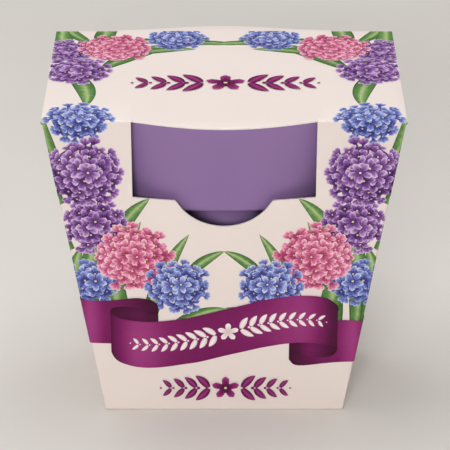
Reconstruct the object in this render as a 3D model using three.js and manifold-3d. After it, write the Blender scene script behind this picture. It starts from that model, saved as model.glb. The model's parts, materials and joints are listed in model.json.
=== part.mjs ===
// A tapered, windowed gift carton of folded board with a bulb vase standing in it.
// Millimetres, +Z up. The origin is the middle of the carton's base, on the surface
// that it stands on. +X is to the right and -Y faces the viewer.
// The carton is one cut and creased blank. Each panel between two creases is a mesh
// of its own here, and neighbouring panels keep a small gap at their crease.

import * as THREE from 'three';
import Module from 'manifold-3d';
import { mergeVertices } from 'three/addons/utils/BufferGeometryUtils.js';

const wasm = await Module();
wasm.setup();

// Driving dimensions of the carton.
const cartonHeight = 128;
const topWidth = 130;
const topDepth = 91;
const baseWidth = 91;
const baseDepth = 52;
const board = 0.6;
const gap = 0.3;
const wallHeadroom = 0.4;

// The window hangs from the front fold and ends in a round thumb notch.
const windowHalfWidth = 33.2;
const windowSideDrop = 32.6;
const shoulderHalfWidth = 17.8;
const shoulderDrop = 34;
const notchRadius = 19.2;
const notchCentreDrop = 26;
const notchHalfWidth = 16.9;

// The lid: a bowed tongue left standing over the window, and a lift tab at the rear.
const tongueReach = 6.4;
const tongueDroop = 1;
const tabHalfWidth = 41;
const tabReach = 4.6;
const lidTuckDepth = 17;
const lidTuckHalfWidth = 60;
const lidTuckCorner = 8;
const lidTuckRunning = 0.5;
const lidTuckDrop = 0.2;

// Flaps. The glue flap's low and high ends are distances up the wall's slope.
const dustFlapLength = 34;
const dustFlapStart = 3;
const dustFlapEnd = 87;
const dustFlapRearCut = 6;
const bottomFlapLength = 26;
const bottomTuckHeight = 15;
const bottomTuckMargin = 2;
const bottomTuckCorner = 6;
const glueFlapWidth = 12;
const glueFlapLow = 7;
const glueFlapHigh = 119;

// The bulb vase: a foot and a waist that are nearly round in plan, under a cup that is
// a soft square. A name that ends in Half is half of the vase's depth at its place, and
// one that ends in Height or Low is a height above the surface that the carton stands on.
const footHalf = 22;
const bellyHalf = 22.8;
const bellyHeight = 13;
const waistHalf = 13;
const waistHeight = 75;
const cupLow = 83;
const cupDepth = 11;
const cupRootHalf = 16;
const cupLowHalf = 37.6;
const mouthHalf = 41.8;
const mouthBand = 5;
const vaseWall = 1.8;
const vaseFloor = 2.4;
const footEase = 2;
const lipEase = 0.8;
const easeShare = 0.4;
const flankFullness = 1.4;
const waistFlare = 1;
const waistFlareDrop = 2.6;
const waistRoundness = 2.2;
const cupRoundness = 3.3;
const cupStretch = 1.1;
const mouthStretch = 1.13;

// How finely the curves are divided.
const notchSteps = 28;
const tabSteps = 24;
const bowSteps = 24;
const droopSteps = 8;
const bowlSteps = 7;
const flankSteps = 8;
const vaseSegments = 56;
const weldDistance = 1e-4;

// Derived sizes.
const lean = (topWidth - baseWidth) / 2;
const leanAngle = Math.atan(lean / cartonHeight);
const foldLine = Math.hypot(cartonHeight, lean);
const wallLow = (board + gap) / Math.cos(leanAngle);
const wallHigh = (cartonHeight - board - wallHeadroom) / Math.cos(leanAngle);
const wallThrough = board / Math.cos(leanAngle);
const bottomLayer = board + gap;
const dustFlapTop = cartonHeight - board - gap;
const vaseBase = 2 * board + 2 * gap;
const vaseTop = dustFlapTop - board - gap;

const cardMaterial = new THREE.MeshStandardMaterial({ color: 0xe6d9d1, roughness: 0.6, metalness: 0 });
const vaseMaterial = new THREE.MeshStandardMaterial({ color: 0x8f70a0, roughness: 0.55, metalness: 0 });

const part = new THREE.Group();

// Half the width of a leaning wall at a distance up its slope.
function halfWidthAt(baseHalf, upSlope) {
  return baseHalf + upSlope * Math.sin(leanAngle);
}

function shapeFrom(points) {
  return new THREE.Shape(points.map(([x, y]) => new THREE.Vector2(x, y)));
}

// A panel in a leaning wall's plane. Its outline is drawn from the outside: across the
// wall, and up the slope from the base. inset moves it inwards from the wall's face.
function addLeaningPanel(name, outline, baseHalf, turn, inset = 0) {
  const geometry = new THREE.ExtrudeGeometry(outline, {
    depth: board,
    bevelEnabled: false,
    curveSegments: notchSteps,
  });
  geometry.translate(0, 0, -board - inset);
  const panel = new THREE.Mesh(geometry, cardMaterial);
  panel.name = name;
  panel.rotation.x = Math.PI / 2 + leanAngle;
  panel.position.y = -baseHalf;
  const side = new THREE.Group();
  side.rotation.z = turn;
  side.add(panel);
  part.add(side);
}

// A level panel whose underside lies at the given height.
function addLevelPanel(name, outline, underside) {
  const geometry = new THREE.ExtrudeGeometry(outline, { depth: board, bevelEnabled: false });
  const panel = new THREE.Mesh(geometry, cardMaterial);
  panel.name = name;
  panel.position.z = underside;
  part.add(panel);
}

// Closed meshes are joined and cut as solids.
function toSolid(geometry) {
  const bare = geometry.clone();
  bare.deleteAttribute('normal');
  bare.deleteAttribute('uv');
  const merged = mergeVertices(bare, weldDistance);
  return new wasm.Manifold(new wasm.Mesh({
    numProp: 3,
    vertProperties: Float32Array.from(merged.attributes.position.array),
    triVerts: Uint32Array.from(merged.index.array),
  }));
}

function toGeometry(solid) {
  const mesh = solid.getMesh();
  const geometry = new THREE.BufferGeometry();
  geometry.setAttribute('position', new THREE.BufferAttribute(mesh.vertProperties, 3));
  geometry.setIndex(new THREE.BufferAttribute(mesh.triVerts, 1));
  geometry.computeVertexNormals();
  return geometry;
}

// Walls ---------------------------------------------------------------------------

// The front wall's outline goes down one side of the window, round the notch and up.
function frontOutline() {
  const baseHalf = baseWidth / 2;
  const notchCentre = foldLine - notchCentreDrop;
  const notchAngle = Math.asin(notchHalfWidth / notchRadius);
  const notchStart = notchCentre - notchRadius * Math.cos(notchAngle);
  const shoulder = foldLine - shoulderDrop;
  const windowSide = foldLine - windowSideDrop;
  const easeX = (shoulderHalfWidth + notchHalfWidth) / 2;
  const outline = new THREE.Shape();
  outline.moveTo(-halfWidthAt(baseHalf, wallLow), wallLow);
  outline.lineTo(halfWidthAt(baseHalf, wallLow), wallLow);
  outline.lineTo(halfWidthAt(baseHalf, wallHigh), wallHigh);
  outline.lineTo(windowHalfWidth, wallHigh);
  outline.lineTo(windowHalfWidth, windowSide);
  outline.lineTo(shoulderHalfWidth, shoulder);
  outline.quadraticCurveTo(easeX, shoulder, notchHalfWidth, notchStart);
  outline.absarc(0, notchCentre, notchRadius, notchAngle - Math.PI / 2, -notchAngle - Math.PI / 2, true);
  outline.quadraticCurveTo(-easeX, shoulder, -shoulderHalfWidth, shoulder);
  outline.lineTo(-windowHalfWidth, windowSide);
  outline.lineTo(-windowHalfWidth, wallHigh);
  outline.lineTo(-halfWidthAt(baseHalf, wallHigh), wallHigh);
  outline.closePath();
  return outline;
}

// A plain wall, narrower than the space at its place by an amount on each side.
function wallOutline(baseHalf, narrower) {
  const low = halfWidthAt(baseHalf, wallLow) - narrower;
  const high = halfWidthAt(baseHalf, wallHigh) - narrower;
  return shapeFrom([[-low, wallLow], [low, wallLow], [high, wallHigh], [-high, wallHigh]]);
}

addLeaningPanel('front_panel', frontOutline(), baseDepth / 2, 0);
addLeaningPanel('back_panel', wallOutline(baseWidth / 2, 0), baseDepth / 2, Math.PI);
addLeaningPanel('right_panel', wallOutline(baseDepth / 2, wallThrough + gap), baseWidth / 2, Math.PI / 2);
addLeaningPanel('left_panel', wallOutline(baseDepth / 2, wallThrough + gap), baseWidth / 2, -Math.PI / 2);

// The glue flap runs up the back edge of the left wall, on its inside.
function glueFlapOutline() {
  const low = halfWidthAt(baseDepth / 2, glueFlapLow) - wallThrough - gap;
  const high = halfWidthAt(baseDepth / 2, glueFlapHigh) - wallThrough - gap;
  const chamfer = glueFlapWidth / 2;
  return shapeFrom([
    [-low, glueFlapLow],
    [-low + glueFlapWidth, glueFlapLow + chamfer],
    [-high + glueFlapWidth, glueFlapHigh - chamfer],
    [-high, glueFlapHigh],
  ]);
}

addLeaningPanel('glue_flap', glueFlapOutline(), baseWidth / 2, -Math.PI / 2, board + gap);

// Bottom --------------------------------------------------------------------------

function rectangle(left, front, right, back) {
  return shapeFrom([[left, front], [right, front], [right, back], [left, back]]);
}

const innerHalfWidth = halfWidthAt(baseWidth / 2, wallLow) - wallThrough - gap;
const innerHalfDepth = halfWidthAt(baseDepth / 2, wallLow) - 2 * (wallThrough + gap);

addLevelPanel('bottom_panel', rectangle(-baseWidth / 2, -baseDepth / 2, baseWidth / 2, baseDepth / 2), 0);
addLevelPanel(
  'bottom_left_flap',
  rectangle(-innerHalfWidth, -innerHalfDepth, -innerHalfWidth + bottomFlapLength, innerHalfDepth),
  bottomLayer,
);
addLevelPanel(
  'bottom_right_flap',
  rectangle(innerHalfWidth - bottomFlapLength, -innerHalfDepth, innerHalfWidth, innerHalfDepth),
  bottomLayer,
);

// A flap with two rounded corners at its free end, drawn up or down the slope.
function tuckOutline(halfWidth, foldAt, freeAt, corner) {
  const step = Math.sign(freeAt - foldAt) * corner;
  const outline = new THREE.Shape();
  outline.moveTo(-halfWidth, foldAt);
  outline.lineTo(-halfWidth, freeAt - step);
  outline.quadraticCurveTo(-halfWidth, freeAt, -halfWidth + corner, freeAt);
  outline.lineTo(halfWidth - corner, freeAt);
  outline.quadraticCurveTo(halfWidth, freeAt, halfWidth, freeAt - step);
  outline.lineTo(halfWidth, foldAt);
  return outline;
}

addLeaningPanel(
  'bottom_tuck_flap',
  tuckOutline(innerHalfWidth - bottomTuckMargin, wallLow, bottomTuckHeight, bottomTuckCorner),
  baseDepth / 2,
  0,
  board + gap,
);

// Lid -----------------------------------------------------------------------------

// The lift tab's edge is a smooth bump, and the same bump is missing from the tuck flap.
function tabBump(x) {
  return tabReach * (0.5 + 0.5 * Math.cos((Math.PI * x) / tabHalfWidth));
}

function lidPlateOutline() {
  const right = topWidth / 2;
  const back = topDepth / 2;
  const points = [[-right, -back], [right, -back], [right, back]];
  for (let i = 0; i <= tabSteps; i += 1) {
    const x = tabHalfWidth * (1 - (2 * i) / tabSteps);
    points.push([x, back + tabBump(x)]);
  }
  points.push([-right, back]);
  return shapeFrom(points);
}

// The tongue is a strip that droops ahead of the fold, cut to a bow.
function tongueSolid() {
  const root = 1;
  const top = [];
  for (let i = 0; i <= droopSteps; i += 1) {
    const forward = (tongueReach * i) / droopSteps;
    top.push([-topDepth / 2 - forward, cartonHeight - tongueDroop * (forward / tongueReach) ** 2]);
  }
  top.unshift([-topDepth / 2 + root, cartonHeight]);
  const bottom = top.map(([y, z]) => [y, z - board]).reverse();
  const strip = new THREE.ExtrudeGeometry(shapeFrom([...top, ...bottom]), {
    depth: 2 * windowHalfWidth,
    bevelEnabled: false,
  });
  strip.translate(0, 0, -windowHalfWidth);
  const alongX = new THREE.Matrix4().makeBasis(
    new THREE.Vector3(0, 1, 0),
    new THREE.Vector3(0, 0, 1),
    new THREE.Vector3(1, 0, 0),
  );
  strip.applyMatrix4(alongX);

  const bow = [[windowHalfWidth, -topDepth / 2 + root], [-windowHalfWidth, -topDepth / 2 + root]];
  for (let i = 0; i <= bowSteps; i += 1) {
    const across = (2 * i) / bowSteps - 1;
    bow.push([windowHalfWidth * across, -topDepth / 2 - tongueReach * (1 - across * across)]);
  }
  const reach = 2 * (board + tongueDroop);
  const cutter = new THREE.ExtrudeGeometry(shapeFrom(bow), { depth: 2 * reach, bevelEnabled: false });
  cutter.translate(0, 0, cartonHeight - reach);
  return toSolid(strip).intersect(toSolid(cutter));
}

function addLid() {
  const plate = new THREE.ExtrudeGeometry(lidPlateOutline(), { depth: board, bevelEnabled: false });
  plate.translate(0, 0, cartonHeight - board);
  const lid = new THREE.Mesh(toGeometry(toSolid(plate).add(tongueSolid())), cardMaterial);
  lid.name = 'lid_panel';
  part.add(lid);
}

addLid();

// The lid's tuck flap hangs inside the back wall. Its top edge misses the lift tab's bump.
function lidTuckOutline() {
  const foldAt = wallHigh - lidTuckDrop;
  const outline = tuckOutline(lidTuckHalfWidth, foldAt, wallHigh - lidTuckDepth, lidTuckCorner);
  for (let i = 0; i <= tabSteps; i += 1) {
    const x = tabHalfWidth * (1 - (2 * i) / tabSteps);
    outline.lineTo(x, foldAt - tabBump(x));
  }
  outline.closePath();
  return outline;
}

addLeaningPanel('lid_tuck_flap', lidTuckOutline(), baseDepth / 2, Math.PI, board + lidTuckRunning);

// The dust flaps fold in under the lid. Their front edge is cut at 45 degrees, so that
// each one rises under the lid without passing through it.
function addDustFlap(name, side) {
  const hingeEdge = halfWidthAt(baseWidth / 2, wallHigh) - wallThrough - gap;
  const front = -topDepth / 2;
  const outline = [
    [hingeEdge, front + dustFlapStart],
    [hingeEdge, front + dustFlapEnd],
    [hingeEdge - dustFlapLength, front + dustFlapEnd - dustFlapRearCut],
    [hingeEdge - dustFlapLength, front + dustFlapStart + dustFlapLength],
  ];
  addLevelPanel(name, shapeFrom(outline.map(([x, y]) => [side * x, y])), dustFlapTop - board);
}

addDustFlap('left_dust_flap', -1);
addDustFlap('right_dust_flap', 1);

// Bulb vase -----------------------------------------------------------------------

// A quarter of an ellipse, from a level root up to an upright wall.
function bowlArc(rootHalf, wallHalf, low, depth) {
  const points = [];
  for (let i = 0; i <= bowlSteps; i += 1) {
    const angle = (Math.PI / 2) * (i / bowlSteps);
    points.push([
      rootHalf + (wallHalf - rootHalf) * Math.sin(angle),
      low + depth * (1 - Math.cos(angle)),
    ]);
  }
  return points;
}

// The vase's flank, from the foot up: a smooth curve through the belly and the waist.
function flank(inset) {
  const middleHalf = (bellyHalf + waistHalf) / 2 + flankFullness;
  const curve = new THREE.SplineCurve([
    new THREE.Vector2(footHalf - inset, vaseBase + footEase + inset),
    new THREE.Vector2(bellyHalf - inset, bellyHeight),
    new THREE.Vector2(middleHalf - inset, (bellyHeight + waistHeight) / 2),
    new THREE.Vector2(waistHalf - inset, waistHeight),
    new THREE.Vector2(waistHalf - inset + waistFlare, cupLow - waistFlareDrop),
  ]);
  return curve.getPoints(flankSteps).map((point) => [point.x, point.y]);
}

// Half the vase's section, from the middle of its underside, up the outside, over the
// lip and down the inside.
function vaseProfile() {
  const bowlOutside = bowlArc(cupRootHalf, cupLowHalf, cupLow, cupDepth);
  const bowlInside = bowlArc(
    cupRootHalf - vaseWall,
    cupLowHalf - vaseWall,
    cupLow + vaseWall,
    cupDepth - vaseWall,
  );
  const outside = [
    [0, vaseBase],
    [footHalf - footEase, vaseBase],
    [footHalf - easeShare * footEase, vaseBase + easeShare * footEase],
    ...flank(0),
    ...bowlOutside,
    [mouthHalf, vaseTop - mouthBand],
    [mouthHalf, vaseTop - lipEase],
    [mouthHalf - easeShare * lipEase, vaseTop],
  ];
  const inside = [
    [mouthHalf - vaseWall, vaseTop],
    [mouthHalf - vaseWall, vaseTop - mouthBand],
    ...bowlInside.reverse(),
    ...flank(vaseWall).reverse(),
    [footHalf - vaseWall - footEase, vaseBase + vaseFloor],
    [0, vaseBase + vaseFloor],
  ];
  return [...outside, ...inside].map(([half, z]) => new THREE.Vector2(half, z));
}

// Turns each round ring of the lathe into a soft square of the same reach front to back.
// The cup is squarer than the waist, and wider than it is deep. Points on the axis stay.
function squareUp(geometry) {
  const position = geometry.attributes.position;
  const clamp = THREE.MathUtils.clamp;
  for (let i = 0; i < position.count; i += 1) {
    const x = position.getX(i);
    const y = position.getY(i);
    const z = position.getZ(i);
    const reach = Math.hypot(x, y);
    if (reach > weldDistance) {
      const upBowl = clamp((z - cupLow) / cupDepth, 0, 1);
      const upCup = clamp((z - cupLow - cupDepth) / (vaseTop - cupLow - cupDepth), 0, 1);
      const roundness = waistRoundness + (cupRoundness - waistRoundness) * upBowl;
      const stretch = 1 + (cupStretch - 1) * upBowl + (mouthStretch - cupStretch) * upCup;
      const soft = (share) => Math.sign(share) * Math.abs(share) ** (2 / roundness);
      position.setXY(i, stretch * reach * soft(x / reach), reach * soft(y / reach));
    }
  }
}

function addVase() {
  const geometry = new THREE.LatheGeometry(vaseProfile(), vaseSegments);
  geometry.rotateX(Math.PI / 2);
  squareUp(geometry);
  const vase = new THREE.Mesh(toGeometry(toSolid(geometry)), vaseMaterial);
  vase.name = 'bulb_vase';
  part.add(vase);
}

addVase();

export default part;
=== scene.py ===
import json
import math
import random
import bpy
from mathutils import Matrix, Vector


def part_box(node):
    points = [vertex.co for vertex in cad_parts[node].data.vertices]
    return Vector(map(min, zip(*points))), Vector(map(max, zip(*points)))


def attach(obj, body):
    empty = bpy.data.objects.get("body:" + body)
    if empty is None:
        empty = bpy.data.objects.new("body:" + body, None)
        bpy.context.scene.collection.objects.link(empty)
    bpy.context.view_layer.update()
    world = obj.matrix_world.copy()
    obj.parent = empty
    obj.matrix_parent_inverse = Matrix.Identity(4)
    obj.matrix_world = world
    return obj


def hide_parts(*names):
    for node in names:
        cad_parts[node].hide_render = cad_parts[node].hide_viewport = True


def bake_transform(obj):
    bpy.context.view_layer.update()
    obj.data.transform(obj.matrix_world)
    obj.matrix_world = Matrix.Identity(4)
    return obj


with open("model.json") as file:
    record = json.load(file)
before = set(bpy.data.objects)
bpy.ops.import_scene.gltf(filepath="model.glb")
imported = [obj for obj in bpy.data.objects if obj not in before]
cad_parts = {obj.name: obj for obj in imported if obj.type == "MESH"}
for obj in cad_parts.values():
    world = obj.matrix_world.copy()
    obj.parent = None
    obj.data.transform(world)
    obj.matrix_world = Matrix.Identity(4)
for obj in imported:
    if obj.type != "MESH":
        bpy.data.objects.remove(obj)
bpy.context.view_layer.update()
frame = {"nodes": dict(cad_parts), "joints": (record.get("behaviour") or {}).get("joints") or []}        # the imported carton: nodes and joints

mm = 0.001
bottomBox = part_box("bottom_panel")
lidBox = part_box("lid_panel")
hinge = Vector(next(j for j in frame["joints"] if j["name"] == "lid_fold")["pos_m"])

# measures that several pieces use; those of the carton are read from the frame
carton = {
    "height": hinge.z,
    "baseHalfWide": bottomBox[1].x,
    "baseHalfDeep": bottomBox[1].y,
    "topHalfWide": lidBox[1].x,
    "topHalfDeep": -hinge.y,
    "board": bottomBox[1].z - bottomBox[0].z,
    "cornerRadius": 0.9 * mm, "cornerSteps": 8,        # the walls' upright folds
    "creaseRadius": 0.7 * mm, "creaseSteps": 6,        # the folds round the lid
}
board = carton["board"]
tiny = 0.01 * mm        # slack when a place is compared
leanAngle = math.atan((carton["topHalfWide"] - carton["baseHalfWide"]) / carton["height"])
foldLine = carton["height"] / math.cos(leanAngle)        # up the slope, from base to lid fold
creaseAngle = math.pi / 2 + leanAngle
creaseRun = carton["creaseRadius"] * math.tan(creaseAngle / 2)        # flat length that a fold takes up

window = {
    # drops are measured down the slope from the lid's fold
    "halfWide": 33.2 * mm, "sideDrop": 32.6 * mm,
    "shoulderHalfWide": 17.8 * mm, "shoulderDrop": 34 * mm,
    "notchRadius": 19.2 * mm, "notchCentreDrop": 26 * mm, "notchHalfWide": 16.9 * mm,
    "notchSteps": 64,
    "above": 5 * mm,        # how far the cutter reaches past the fold
}
dustFlap = {
    "frontStart": 42.5 * mm, "rearStart": 41.5 * mm, "rearCut": 6 * mm,
    "foldRows": 6, "flatRows": 6, "columns": 8,
    "wornFrom": 64.05 * mm,        # the fold's outer part is scuffed
    "bendIn": (0.25 * mm, 0.95 * mm), "bendHeights": (126.3 * mm, 127.05 * mm),
}


# small helpers

def deselectAll():
    if bpy.context.object and bpy.context.object.mode != "OBJECT":
        bpy.ops.object.mode_set(mode="OBJECT")
    bpy.ops.object.select_all(action="DESELECT")


def makeActive(piece):
    deselectAll()
    piece.select_set(True)
    bpy.context.view_layer.objects.active = piece


def namePiece(name):
    piece = bpy.context.object
    piece.name = name
    piece.data.name = name
    return piece


def everything(*place):
    return True


def edit(piece, kind, test, *operations):        # mesh operations on whatever passes the test
    makeActive(piece)
    bpy.ops.object.mode_set(mode="EDIT")
    bpy.ops.mesh.select_mode(type=kind)
    bpy.ops.mesh.select_all(action="DESELECT")
    bpy.ops.object.mode_set(mode="OBJECT")
    mesh = piece.data
    if kind == "VERT":
        for vertex in mesh.vertices:
            vertex.select = test(vertex.co)
    elif kind == "EDGE":
        for edge in mesh.edges:
            edge.select = test(*(mesh.vertices[i].co for i in edge.vertices))
    else:
        for face in mesh.polygons:
            face.select = test(face.center)
    bpy.ops.object.mode_set(mode="EDIT")
    for operation, settings in operations:
        operation(**settings)
    bpy.ops.object.mode_set(mode="OBJECT")


def removeFaces(piece, test):
    edit(piece, "FACE", test, (bpy.ops.mesh.delete, {"type": "FACE"}))


def extrudeEdges(piece, test, move):
    edit(piece, "EDGE", test,
         (bpy.ops.mesh.extrude_edges_move, {"TRANSFORM_OT_translate": {"value": move}}))


def roundCorners(piece, test, radius):
    settings = {"offset": radius, "segments": carton["cornerSteps"], "affect": "VERTICES"}
    edit(piece, "VERT", test, (bpy.ops.mesh.bevel, settings))


def spinRound(piece, steps, angle, copies=False):        # about Z, as a skin or as separate copies
    settings = {"steps": steps, "angle": angle, "dupli": copies, "center": (0, 0, 0), "axis": (0, 0, 1)}
    edit(piece, "EDGE", everything, (bpy.ops.mesh.spin, settings))


def newGrid(name, columns, rows, place):        # place gives each point from its row and column
    deselectAll()
    bpy.ops.mesh.primitive_grid_add(x_subdivisions=columns - 1, y_subdivisions=rows - 1, size=1)
    piece = namePiece(name)
    for i, vertex in enumerate(piece.data.vertices):
        vertex.co = place(*divmod(i, columns))
    piece.data.update()
    return piece


def faceUp(piece):
    if sum(face.normal.z * face.area for face in piece.data.polygons) < 0:
        piece.data.flip_normals()


def applyModifier(piece, kind, **settings):
    makeActive(piece)
    modifier = piece.modifiers.new(kind.lower(), kind)
    for name, value in settings.items():
        setattr(modifier, name, value)
    bpy.ops.object.modifier_apply(modifier=modifier.name)


def settle(piece):        # leaves the object at the origin, with its place in its mesh
    makeActive(piece)
    bpy.ops.object.transform_apply(location=True, rotation=True, scale=True)


def smooth(piece, degrees=35):
    makeActive(piece)
    bpy.ops.object.shade_smooth_by_angle(angle=math.radians(degrees))


def cleanUp(piece):        # merges doubles and turns every face outwards
    edit(piece, "VERT", everything, (bpy.ops.mesh.remove_doubles, {"threshold": tiny / 5}),
         (bpy.ops.mesh.normals_make_consistent, {"inside": False}))


def joinPieces(pieces, name):
    deselectAll()
    for piece in pieces:
        piece.select_set(True)
    bpy.context.view_layer.objects.active = pieces[0]
    if len(pieces) > 1:
        bpy.ops.object.join()
    return namePiece(name)


def giveMaterials(piece, *materials):
    piece.data.materials.clear()
    for material in materials:
        piece.data.materials.append(material)


# where a point of a flat drawing lies on the folded carton

def halfSizes(side, z):
    spread = z * math.tan(leanAngle)
    wide, deep = carton["baseHalfWide"] + spread, carton["baseHalfDeep"] + spread
    return (wide, deep) if side % 2 == 0 else (deep, wide)


# u runs across from the wall's middle, v up its slope and h out from the board; a point past the
# wall's edge goes round the upright fold
def wallPoint(side, u, v, h):
    z = v * math.cos(leanAngle)
    wide, deep = halfSizes(side, z)
    radius = carton["cornerRadius"]
    past = abs(u) - (wide - radius)
    hand = math.copysign(1, u)
    quarter = radius * math.pi / 2
    if past <= 0:
        flat, out = Vector((u, -deep, z)), Vector((0, -1, 0))
    elif past <= quarter:
        turn = past / radius
        out = Vector((hand * math.sin(turn), -math.cos(turn), 0))
        flat = Vector((hand * (wide - radius), -(deep - radius), z)) + radius * out
    else:
        out = Vector((hand, 0, 0))
        flat = Vector((hand * wide, -(deep - radius) + past - quarter, z))
    point = flat + h * (out * math.cos(leanAngle) - Vector((0, 0, math.sin(leanAngle))))
    point.rotate(Matrix.Rotation(side * math.pi / 2, 3, "Z"))
    return point


def creasePoint(turn, h):        # on the lid's front fold: turn is 0 at the lid, creaseAngle at the wall
    radius = carton["creaseRadius"]
    y = hinge.y + creaseRun - (radius + h) * math.sin(turn)
    z = hinge.z - radius + (radius + h) * math.cos(turn)
    return y, z


def unfoldedPoint(u, s, h):        # the front's drawing runs on over the fold and back across the lid
    if s <= foldLine - creaseRun:
        return wallPoint(0, u, s, h)
    if s >= foldLine + creaseRun:
        return Vector((u, hinge.y + s - foldLine, hinge.z + h))
    share = (s - foldLine + creaseRun) / (2 * creaseRun)
    y, z = creasePoint(creaseAngle * (1 - share), h)
    return Vector((u, y, z))


# materials

def rgb(red, green, blue):        # a display colour, as the shader wants it
    def linear(value):
        value = value / 255
        return value / 12.92 if value <= 0.04045 else ((value + 0.055) / 1.055) ** 2.4
    return (linear(red), linear(green), linear(blue), 1)


def newMaterial(name, roughness):
    material = bpy.data.materials.new(name)
    material.use_nodes = True
    shader = material.node_tree.nodes["Principled BSDF"]
    shader.inputs["Roughness"].default_value = roughness
    return material, material.node_tree, shader


def setInputs(tree, node, inputs):        # links an output, and writes in a plain value
    for name, value in inputs.items():
        if isinstance(value, bpy.types.NodeSocket):
            tree.links.new(value, node.inputs[name])
        else:
            node.inputs[name].default_value = value


def addNode(tree, kind, inputs=None, **settings):
    node = tree.nodes.new(kind)
    for name, value in settings.items():
        setattr(node, name, value)
    setInputs(tree, node, inputs or {})
    return node


def noise(tree, look):        # on Object coordinates; look is its scale, detail and roughness
    place = addNode(tree, "ShaderNodeTexCoord").outputs["Object"]
    inputs = {"Vector": place, "Scale": look[0], "Detail": look[1], "Roughness": look[2]}
    return addNode(tree, "ShaderNodeTexNoise", inputs).outputs["Fac"]


def attribute(tree, name):
    return addNode(tree, "ShaderNodeAttribute", attribute_name=name).outputs["Fac"]


def ramp(tree, value, stops):        # each stop is its place and a colour or a level of grey
    node = addNode(tree, "ShaderNodeValToRGB", {"Fac": value})
    elements = node.color_ramp.elements
    while len(elements) < len(stops):
        elements.new(0.5)
    for element, (place, colour) in zip(elements, stops):
        element.position = place
        element.color = colour if isinstance(colour, tuple) else (colour, colour, colour, 1)
    return node.outputs["Color"]


def mix(tree, factor, first, second):
    inputs = {0: factor, 6: first, 7: second}        # a mix node's colours are sockets 6 and 7
    return addNode(tree, "ShaderNodeMix", inputs, data_type="RGBA").outputs[2]


def math2(tree, operation, first, second):
    return addNode(tree, "ShaderNodeMath", {0: first, 1: second}, operation=operation).outputs[0]


def bump(tree, height, strength, distance):
    inputs = {"Height": height, "Strength": strength, "Distance": distance}
    return addNode(tree, "ShaderNodeBump", inputs).outputs["Normal"]


cardLook = {
    # a noise is its scale, detail and roughness; a bump is its strength and depth
    "outside": rgb(240, 228, 222), "outsideShade": rgb(235, 221, 214), "mottle": (38, 4, 0.55),
    "roughness": 0.66, "rough": ((0.3, 0.6), (0.7, 0.72)), "specular": 0.12,
    "crease": rgb(250, 244, 240), "cracks": (900, 4, 0.6), "cracked": ((0.42, 0), (0.62, 1)),
    "wear": 0.3,        # how strongly cracks show
    "swell": (60, 2, 0.5), "fibre": (2600, 3, 0.6), "fibreShare": 0.25, "bump": (0.35, 0.05 * mm),
    "inside": rgb(226, 220, 212), "insideFleck": rgb(204, 196, 186), "flecks": (1500, 5, 0.7),
    "insideRoughness": 0.85, "insideFibre": (2200, 4, 0.7), "insideBump": (0.4, 0.08 * mm),
    "edge": rgb(244, 238, 231), "edgeRoughness": 0.9, "plies": (5200, 3, 0.8),
    "edgeBump": (0.4, 0.05 * mm),
}


def makeCardOutside():
    material, tree, shader = newMaterial("coatedCard", cardLook["roughness"])
    cloud = noise(tree, cardLook["mottle"])
    colour = mix(tree, cloud, cardLook["outside"], cardLook["outsideShade"])
    cracks = ramp(tree, noise(tree, cardLook["cracks"]), cardLook["cracked"])
    wear = math2(tree, "MULTIPLY", attribute(tree, "worn"), cracks)
    wear = math2(tree, "MULTIPLY", wear, cardLook["wear"])
    fibres = math2(tree, "MULTIPLY", noise(tree, cardLook["fibre"]), cardLook["fibreShare"])
    height = math2(tree, "ADD", fibres, noise(tree, cardLook["swell"]))
    setInputs(tree, shader, {
        "Base Color": mix(tree, wear, colour, cardLook["crease"]),
        "Roughness": ramp(tree, cloud, cardLook["rough"]),
        "Normal": bump(tree, height, *cardLook["bump"]),
        "Specular IOR Level": cardLook["specular"],
    })
    return material


def makeCardInside():
    material, tree, shader = newMaterial("uncoatedCard", cardLook["insideRoughness"])
    stops = (0.35, cardLook["insideFleck"]), (0.6, cardLook["inside"])
    setInputs(tree, shader, {
        "Base Color": ramp(tree, noise(tree, cardLook["flecks"]), stops),
        "Normal": bump(tree, noise(tree, cardLook["insideFibre"]), *cardLook["insideBump"]),
    })
    return material


def makeCardEdge():
    material, tree, shader = newMaterial("cutCardEdge", cardLook["edgeRoughness"])
    plies = noise(tree, cardLook["plies"])
    setInputs(tree, shader, {
        "Base Color": ramp(tree, plies, ((0.3, cardLook["inside"]), (0.7, cardLook["edge"]))),
        "Normal": bump(tree, plies, *cardLook["edgeBump"]),
    })
    return material


vaseLook = {
    "colour": rgb(146, 115, 164), "shade": rgb(138, 107, 157), "cloud": (45, 3, 0.5),
    "roughness": 0.5, "rough": ((0.3, 0.46), (0.7, 0.56)), "specular": 0.35,
    "grain": (2400, 2, 0.5), "bump": (0.3, 0.04 * mm),
}


def makeVaseMaterial():
    material, tree, shader = newMaterial("matteVasePlastic", vaseLook["roughness"])
    grain = noise(tree, vaseLook["grain"])
    setInputs(tree, shader, {
        "Base Color": mix(tree, noise(tree, vaseLook["cloud"]), vaseLook["colour"], vaseLook["shade"]),
        "Roughness": ramp(tree, grain, vaseLook["rough"]),
        "Normal": bump(tree, grain, *vaseLook["bump"]),
        "Specular IOR Level": vaseLook["specular"],
    })
    return material


cardOutside = makeCardOutside()
cardInside = makeCardInside()
cardEdge = makeCardEdge()
vasePlastic = makeVaseMaterial()
cardMaterials = (cardOutside, cardInside, cardEdge)
print("materials made")


def thicken(piece):        # inwards, with the inside and the cut edges in their own finish
    giveMaterials(piece, *cardMaterials)
    applyModifier(piece, "SOLIDIFY", thickness=board, offset=-1, use_even_offset=True,
                  material_offset=1, material_offset_rim=2)


def markWorn(piece, share):        # how worn each point is, for the card's finish
    worn = piece.data.attributes.new("worn", "FLOAT", "POINT")
    worn.data.foreach_set("value", [share(vertex.co) for vertex in piece.data.vertices])


# the walls: one sleeve with round upright folds

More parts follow.
